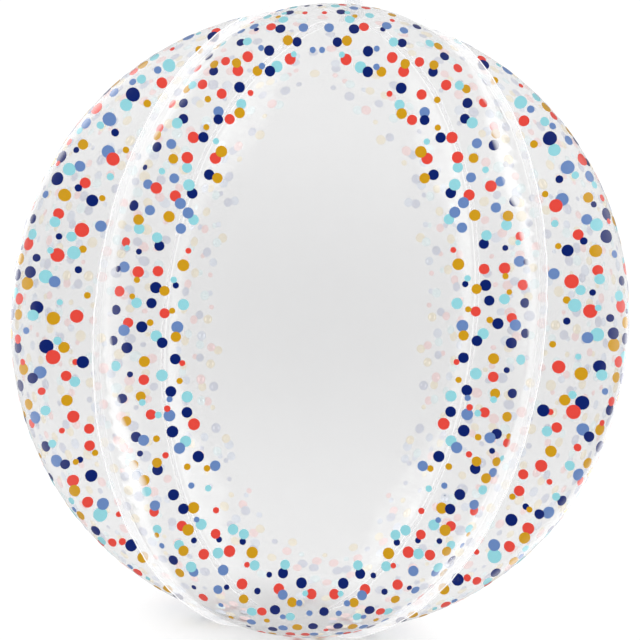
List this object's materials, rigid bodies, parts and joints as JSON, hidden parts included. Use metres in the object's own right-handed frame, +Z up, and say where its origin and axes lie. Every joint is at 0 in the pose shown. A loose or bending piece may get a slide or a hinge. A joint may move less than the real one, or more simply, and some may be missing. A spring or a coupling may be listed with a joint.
{
  "type": "sphere foil balloon",
  "caption": "Round clear film balloon of four welded gore panels, printed with confetti dots, with a flat filling neck at the top.",
  "frame": {"origin": "centre of the flat spot that the balloon rests on", "axes": "+Z up through the poles and the filling neck, -Y towards the front panel, +X towards the right panel"},
  "size_m": [0.3898, 0.3898, 0.4223],
  "materials": {
    "clear_film": "clear, slightly milky, glossy film",
    "neck_film": "two layers of clear glossy film, welded at the sides",
    "dot_navy": "glossy navy printing ink on film",
    "dot_coral": "glossy coral red printing ink on film",
    "dot_gold": "glossy mustard gold printing ink on film",
    "dot_aqua": "glossy pale aqua printing ink on film",
    "dot_blue": "glossy soft blue printing ink on film"
  },
  "bodies": {
    "root": {"front_panel": "clear_film", "right_panel": "clear_film", "back_panel": "clear_film", "left_panel": "clear_film", "filling_neck": "neck_film"}
  },
  "joints": []
}
